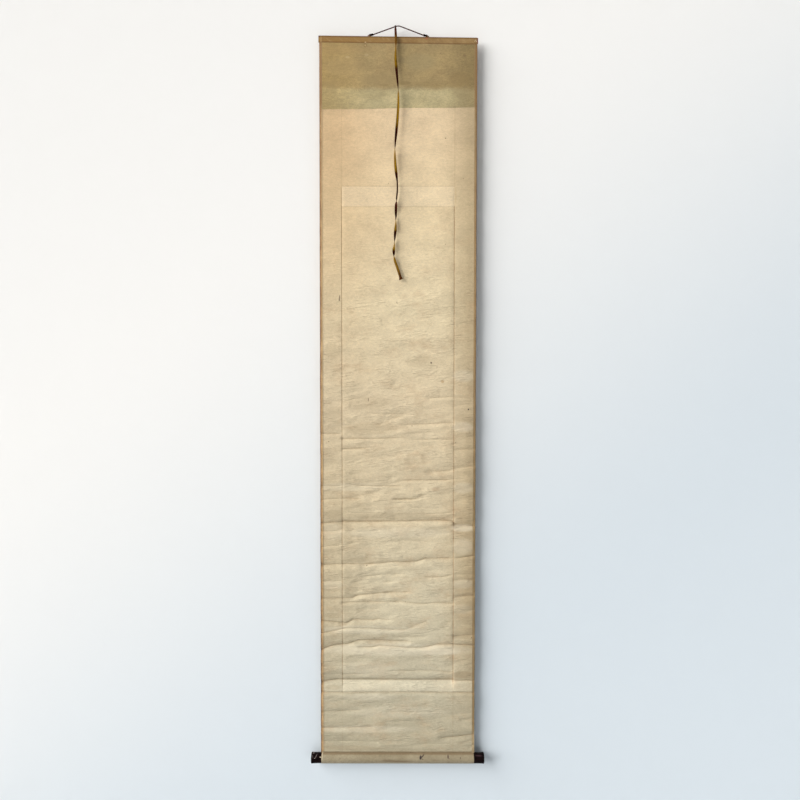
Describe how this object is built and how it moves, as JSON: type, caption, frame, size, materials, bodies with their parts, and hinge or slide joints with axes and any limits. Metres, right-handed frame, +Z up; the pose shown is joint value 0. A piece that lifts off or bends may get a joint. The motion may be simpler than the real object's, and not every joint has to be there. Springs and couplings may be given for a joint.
{
  "type": "paper scroll",
  "caption": "Hanging paper scroll with a creased backing, silk cover band, half-round top rod on a cord, twisted tie ribbon and a wrapped roller with dark turned knobs.",
  "frame": {"origin": "the top of the nail that the hanging cord rests on, in the middle of the cord's bend", "axes": "+Z up along the hanging scroll, +Y out of its picture side, +X to the right when looking at its back"},
  "size_m": [0.46, 0.03, 1.9323],
  "materials": {
    "mount_cloth": "aged brown cloth lined with paper",
    "backing_paper": "aged creased handmade paper",
    "cover_silk": "olive tan silk, stained",
    "panel_paper": "aged plain paper",
    "strip_silk": "plain dull silk",
    "rod_wood": "bare red-brown wood",
    "knob_lacquer": "worn near-black lacquer",
    "eyelet_iron": "rusted iron wire",
    "washer_brass": "tarnished brass",
    "cord_silk": "twisted dark maroon silk",
    "ribbon_silk": "flat woven tape, maroon fading to olive gold"
  },
  "bodies": {
    "root": {"mount_cloth": "mount_cloth", "backing_paper": "backing_paper", "cover_band": "cover_silk", "picture_panel": "panel_paper", "upper_strip": "strip_silk", "lower_strip": "strip_silk", "top_rod": "rod_wood", "roller_rod": "rod_wood", "left_knob": "knob_lacquer", "right_knob": "knob_lacquer", "left_eyelet": "eyelet_iron", "right_eyelet": "eyelet_iron", "left_washer": "washer_brass", "right_washer": "washer_brass", "left_cord_knot": "cord_silk", "right_cord_knot": "cord_silk", "hanging_cord": "cord_silk", "ribbon_knot": "ribbon_silk", "winding_ribbon": "ribbon_silk"}
  },
  "joints": []
}
